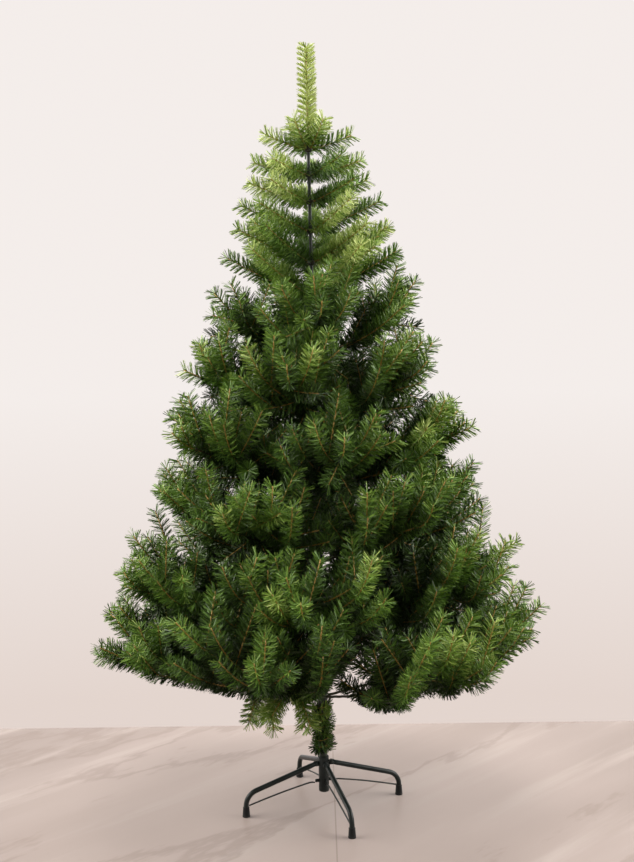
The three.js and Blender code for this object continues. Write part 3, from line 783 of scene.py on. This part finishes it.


# ---- Needles ----
# Thin strips of coloured film caught between two twisted wires, so that they stand out in two rows that wind
# round the stem. Several greens are dealt out by spray: dark inside the crown as painted shade, fresh at its
# rim as painted light.
needle_reach = 26
whorl_needle_reach = 25.5
needles_per_mm = 2.4
row_gap = 13.5
whorl_row_gap = 11.8
needle_widths = (1.2, 1.6)
needle_angle = np.radians(62)
inner_widening = 1.4
turn_scatter = 0.17
lean_scatter = 0.08
end_lean = 0.2
needle_sizes = (0.9, 1.05)
end_shorter = 0.12
tip_slant = 0.12
green_depths = [-200, -125, -45]
green_scatter = 30
# The greens are one needle film in darker and lighter copies. They carry painted shade and painted light, and
# now and then a step of random tone.
greens = {
    "deep": (0.020, 0.040, 0.008, 1),
    "forest": (0.048, 0.099, 0.015, 1),
    "leaf": (0.089, 0.175, 0.024, 1),
    "fresh": (0.152, 0.255, 0.035, 1),
    "pale": (0.280, 0.370, 0.085, 1),
    "lightest": (0.500, 0.575, 0.215, 1),
}


def needle_film(name, colour):
    finish = Finish(f"{name} needle film")
    return finish.set(Base_Color=colour, Roughness=0.38, Specular_IOR_Level=0.25)


needle_films = [needle_film(name, colour) for name, colour in greens.items()]
DEEP, FOREST, LEAF, FRESH, PALE, LIGHTEST = range(len(greens))


def spray_needles(curve, reach, tone, chance, density=1.0, blunt=False, gap=row_gap, dark=0, fresh=0):
    """Needles along a curve, their roots spread evenly along it. Each turns about the stem by half a turn for
    each row gap, in either of two opposite rows, and leans forwards from it, the more so at the end. A needle
    is a flat strip of two faces, narrow at its root and cut off at a slant at its tip. Those that grow from
    the first millimetres, as many as dark says, are a green darker as painted shade near the stem, and many
    of those from the last ones, as many as fresh says, a green lighter as painted light at the tip."""
    length = curve_length(curve)
    count = max(8, int(length * needles_per_mm * density))
    share = (np.arange(count) + chance.random(count)) / count
    root = curve_points(curve, share)
    stem = curve_directions(curve, share)
    side = np.cross(stem, [0.02, 0.01, 1.0])
    side /= np.linalg.norm(side, axis=1, keepdims=True)
    over = np.cross(side, stem)
    turn = np.pi * (share * length / gap + chance.integers(0, 2, count)) + chance.uniform(0, 6.28)
    turn = turn + chance.normal(0, turn_scatter, count)
    out = np.cos(turn)[:, None] * side + np.sin(turn)[:, None] * over
    lean = needle_angle + chance.normal(0, lean_scatter, count) - (0 if blunt else end_lean) * share**14
    way = np.cos(lean)[:, None] * stem + np.sin(lean)[:, None] * out
    size = reach / np.sin(needle_angle) * chance.uniform(*needle_sizes, count) * (1 - end_shorter * share**10)
    across = np.cross(way, stem)
    across /= np.linalg.norm(across, axis=1, keepdims=True)
    roll = chance.uniform(0, np.pi, count)[:, None]
    width = np.cos(roll) * across + np.sin(roll) * np.cross(way, across)
    tip = root + size[:, None] * way
    slant = tip_slant * size[:, None] * way
    narrow, wide = (0.5 * value * width * (inner_widening if tone < 1 else 1) for value in needle_widths)
    points = np.stack([root - narrow, root + narrow, tip + wide - slant, tip - wide], axis=1)
    faces = 4 * np.arange(count)[:, None, None] + np.array([[0, 1, 2], [0, 2, 3]])
    # Painted shade and light: a green darker near the stem, and often a green lighter near the tip.
    shift = chance.choice([-1, 0, 0, 0, 0, 1], count) - (share * length < dark)
    shift = shift + ((1 - share) * length < fresh) * (chance.random(count) < 0.4)
    dealt = np.repeat(np.clip(tone + shift, 0, len(greens) - 1), 2)
    return points.reshape(-1, 3), faces.reshape(-1, 3), dealt


def tone_at(curve, chance):
    """The place of a spray's green among the greens, by how deep in the crown its middle lies and a little
    by chance: from fresh at the rim, as painted light, to deep inside, as painted shade."""
    depth = depth_in_crown(curve_points(curve, 0.6)) + chance.normal(0, green_scatter)
    return int(np.searchsorted(green_depths, -depth))


def brush(curve, chance, density, shade):
    """The spray of one twig, dark at its root as painted shade and fresh at its tip as painted light. Shade
    is added to its place among the greens."""
    tone = max(0, tone_at(curve, chance) + shade)
    return spray_needles(curve, needle_reach, tone, chance, density, dark=45, fresh=35)


def lifted_tip(curve, chance, tip=125, most=50):
    """The twig as two curves: its inner part as it grew, and its last stretch, which a hand has bent upwards,
    on the front of the tree the most."""
    split = max(0.25, 1 - tip / curve_length(curve))
    start, ahead = curve_points(curve, split), curve_directions(curve, split)
    length = (1 - split) * curve_length(curve)
    front = max(0.0, -ahead[1]) ** 2
    lift = np.radians(chance.uniform(38 * front, most + 25 * front))
    level = np.append(ahead[:2], 0) / np.linalg.norm(ahead[:2])
    rise = min(np.arcsin(ahead[2]) + lift, np.radians(62 + 16 * front))
    bent = np.cos(rise) * level + np.array([0, 0, np.sin(rise)])
    middle = start + 0.4 * length * ahead
    return part_of(curve, 0, split), np.stack([start, middle, middle + 0.62 * length * bent])


def add_needles(name, sprays, nodes):
    """One piece of all the sprays: their points and faces in turn, and the green dealt to each face."""
    part = joined([(points, faces) for points, faces, _ in sprays])
    dealt = np.concatenate([dealt for _, _, dealt in sprays])
    add_piece(name, leaned(part), needle_films, "needles", nodes, dealt=dealt, smooth=False)


# ---- Twigs ----
# Two steel wires twisted round the roots of the needles, lacquered brown. The tips show their brown core, and
# the boughs are thicker ropes of the same wires, dark with wear.
twig_colour = (0.36, 0.21, 0.045, 1)
bough_colours = ((0.018, 0.018, 0.010, 1), (0.050, 0.038, 0.018, 1))


def brown_wire():
    finish = Finish("brown lacquered wire")
    return finish.set(Base_Color=twig_colour, Roughness=0.45)


def bough_wire():
    """Dark lacquer on a rope of wires: browner on its high turns, with a dull gloss."""
    finish = Finish("bough wire")
    grime = finish.noise(130.0, detail=4.0)
    colour = finish.mix(finish.between(grime, 0.35, 0.7), *bough_colours)
    return finish.set(Base_Color=colour, Roughness=0.35 + 0.25 * grime, Metallic=0.2)


def twig_tube(curve, root_radius, tip_radius):
    """A thin four-sided tube along the curve that tapers evenly."""
    line = curve_points(curve, np.linspace(0, 1, 6))
    return swept(line, np.linspace(root_radius, tip_radius, 6), 4, reference=(0.02, 0.01, 1))


def bough_rope(curve, root_radius, tip_radius, twist=26):
    """Three wires twisted: at angle a round the stem and distance s along it the radius is the tapering mean
    times 1 + 0.16 cos(3 a - 2 pi s / twist)."""
    share = np.linspace(0, 1, 64)
    length = curve_length(curve)
    angle = np.linspace(0, 2 * np.pi, 9, endpoint=False)
    mean = root_radius + (tip_radius - root_radius) * share
    wave = np.cos(3 * angle[None] - 2 * np.pi * share[:, None] * length / twist)
    return swept(curve_points(curve, share), mean[:, None] * (1 + 0.16 * wave), 9, reference=(0.02, 0.01, 1))


brown_finish = brown_wire()
bough_finish = bough_wire()


# ---- Tiers ----
# Boughs hinged to the pole's bracket rings. Twigs leave each bough on both sides and from above, and end
# round the rim of the crown. Every twig is a brush of needles, and so are its own side twigs.
bare_root = {"lowest": 0.34, "others": 0.1}
chance = np.random.default_rng(24)


def bough_growth(tier, index):
    """All needles, twig wires and the rope of one bough. The more it points to the front, the steeper its
    side twigs stand, and the lowest boughs there are a green darker, as they lie in the shade."""
    stem, plan = bough_plan(tier, index)
    lowest = tier == 0
    leafy_stem = part_of(stem, bare_root["lowest" if lowest else "others"], 1)
    # The needles on the stem itself are the deep green: painted shade inside the crown.
    sprays = [spray_needles(leafy_stem, 0.85 * needle_reach, DEEP, chance, 0.6, blunt=True)]
    front = max(0.0, stem[0, 1] - stem[2, 1]) ** 2 / np.sum((stem[2] - stem[0]) ** 2)
    pitches = (6 if lowest else -16, 30 + 30 * front)
    upward = (14 + 24 * front, 44 + 30 * front)
    shade = -1 if lowest and front > 0.5 else 0
    twigs, fines = [], []
    inner = side_twigs(leafy_stem, chance, 36, 115, first=0.0, pitches=(15, 80), yaws=(20, 100))
    if not lowest:
        inner += side_twigs(leafy_stem, chance, 48, 100, first=0.0, pitches=(-75, -15), yaws=(20, 100))
    for fine in inner:
        # Inner side twigs take the two darkest greens: painted shade inside the crown.
        tone = FOREST if chance.random() < 0.35 else DEEP
        sprays.append(spray_needles(fine, needle_reach, tone, chance, 0.6))
        twigs.append(twig_tube(fine, 1.2, 0.9))
    for curve, growth in plan:
        curve = part_of(curve, 0, 1 - (tip_margin - 4) / curve_length(curve))
        twigs.append(twig_tube(curve, 1.8, 1.4))
        if growth == "hangs":
            tuft = side_twigs(curve, chance, 30, 70, first=0.05, last=0.75, pitches=(-30, 30), yaws=(20, 48))
            for fine in [curve, *tuft]:
                # Hanging tufts take a lighter green, lighter still towards their tips: painted light where
                # the windows reach them.
                sprays.append(spray_needles(fine, needle_reach, FRESH, chance, 1.6, fresh=110))
                twigs.append(twig_tube(fine, 1.5, 1.2))
        elif growth == "stands":
            sprays.append(brush(curve, chance, 1.15, 0))
            fines += side_twigs(curve, chance, 70, 130, first=0.1, last=0.8, pitches=pitches, yaws=(24, 60))
        else:
            near, far = lifted_tip(curve, chance)
            twigs[-1] = twig_tube(near, 1.8, 1.6)
            twigs.append(twig_tube(far, 1.6, 1.3))
            # The inner part of a reaching twig is at most the forest green: painted shade inside the crown.
            tone = min(FOREST, tone_at(near, chance))
            sprays.append(spray_needles(near, 0.9 * needle_reach, tone, chance, 0.7, blunt=True))
            sprays.append(brush(far, chance, 1.2, shade))
            fines += side_twigs(near, chance, 60, 150, first=0.1, pitches=pitches, yaws=(24, 60), drawn_in=45)
            fines += side_twigs(near, chance, 95, 160, first=0.3, pitches=upward, yaws=(5, 60))
            fines += side_twigs(far, chance, 60, 140, first=0.0, last=0.45, pitches=upward, yaws=(10, 50))
    for fine in fines:
        sprays.append(brush(fine, chance, 1.0, shade))
        twigs.append(twig_tube(fine, 1.6, 1.3))
    return sprays, twigs, bough_rope(stem, 3.2, 1.6)


for tier, count in enumerate(tier_counts):
    grown = [bough_growth(tier, index) for index in range(count)]
    masses = [f"mass_{tier + 1}_{index + 1}" for index in range(count)]
    boughs = [f"bough_1_{index + 1}" for index in range(count)] if tier == 0 else []
    for half, chosen in (("a", range(0, count, 2)), ("b", range(1, count, 2))):
        sprays = sum((grown[index][0] for index in chosen), [])
        add_needles(f"needles_tier_{tier + 1}_{half}", sprays, [masses[index] for index in chosen])
    twigs = sum((grown[index][1] for index in range(count)), [])
    add_piece(f"twigs_tier_{tier + 1}", leaned(joined(twigs)), brown_finish, "wire", masses)
    ropes = [rope for _, _, rope in grown]
    add_piece(f"boughs_tier_{tier + 1}", leaned(joined(ropes)), bough_finish, "wire", boughs + masses)


# ---- Whorls and leader ----
# Above the tiers, rings of single sprays are bound to the thin top tube with dark tape. The leader stands
# upright on a cap at its end, with the last ring round it.
tape_radius = 8.5
leader_low = 1577
leader_high = 1791
leader_reach = 24
# The greens grow paler ring by ring towards the top: painted light where the light from above falls.
whorl_tones = [(0.5, 0.4, 0.1), (0.25, 0.5, 0.25), (0.15, 0.5, 0.35), (0.1, 0.5, 0.4), (0.1, 0.5, 0.4),
               (0.05, 0.3, 0.65)]  # the share of sprays in each of leaf, fresh and pale, ring by ring


def binding(height, low=5, high=5):
    """A roll of tape round the pole: a rounded ring with two shallow grooves."""
    rim = tape_radius - 1.5
    profile = [(0, height - low), (rim, height - low), (tape_radius, height - low + 2),
               (tape_radius - 1, height), (tape_radius, height + high - 2), (rim, height + high),
               (0, height + high)]
    return turned(rounded(profile, 1.2), 24)


sprays, twigs, tapes = [], [], []
leader_sprays = []
for level in range(whorl_levels):
    height, curves = whorl_plan(level)
    top = level == whorl_levels - 1
    tapes.append(binding(height, high=24 if top else 5))
    for curve in curves:
        curve = part_of(curve, 0.03, 1 - 14 / curve_length(curve))
        away = (16, 30) if curve[2][0] > 0 else (-30, -16)
        fines = side_twigs(curve, chance, 300, 150, first=0.04, last=0.9, pitches=(-8, 18), yaws=away)
        for fine in [curve, *fines]:
            tone = chance.choice([LEAF, FRESH, PALE], p=whorl_tones[level])
            made = spray_needles(fine, whorl_needle_reach, tone, chance, 1.5, gap=whorl_row_gap, dark=50,
                                 fresh=50)
            (leader_sprays if top else sprays).append(made)
            twigs.append(twig_tube(fine, 1.3, 1.0))
leader = bowed(polar(0, 0, leader_low), polar(0, 0, leader_high) + 0.01, 0.0)
# The leader takes the lightest green: painted light on the top of the tree.
leader_spray = spray_needles(leader, leader_reach, LIGHTEST, chance, 3.2, blunt=True, gap=whorl_row_gap)
leader_sprays.append(leader_spray)
leader_line = curve_points(leader, np.linspace(0, 1, 9))
twigs.append(swept(leader_line, np.linspace(2.4, 1.4, 9), 6, reference=(1, 0, 0)))
whorls = [f"whorl_{level + 1}" for level in range(whorl_levels - 1)]
add_needles("needles_whorls", sprays, whorls)
add_needles("needles_leader", leader_sprays, ["leader"])
add_piece("twigs_top", leaned(joined(twigs)), brown_finish, "wire", whorls + ["leader"])
add_piece("tape_rings", leaned(joined(tapes)), bough_finish, "wire", whorls + ["leader"])


# ---- Garland round the foot of the pole ----
# A length of the same brush wound tightly round the pole below the lowest boughs, to hide it. Its needles
# stand out all round, shorter and darker than those of the crown.
garland_low = 138
garland_high = 258
garland_turns = 7.5
garland_coil = 12.5
garland_reaches = (14, 23)
coil_points = 150
piece_points = 6

share = np.linspace(0, 1, coil_points)
coil_angle = 2 * np.pi * garland_turns * share
coil = np.stack([garland_coil * np.cos(coil_angle), garland_coil * np.sin(coil_angle),
                 garland_low + (garland_high - garland_low) * share], axis=-1)
sprays = []
for first in range(0, coil_points - piece_points, piece_points):
    a, b, c = coil[first], coil[first + piece_points // 2], coil[first + piece_points]
    curve = np.stack([a, 2 * b - (a + c) / 2, c])
    tone = int(chance.integers(0, 4))
    reach = chance.uniform(*garland_reaches)
    sprays.append(spray_needles(curve, reach, tone, chance, density=2.2, blunt=True, gap=9))
add_needles("needles_garland", sprays, ["garland"])
coil_wire = swept(coil, np.full(len(coil), 1.3), 5, reference=(0, 0, 1))
add_piece("garland_wire", leaned(coil_wire), brown_finish, "wire", ["garland"])


# ---- Sizes and the end ----
low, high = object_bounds()
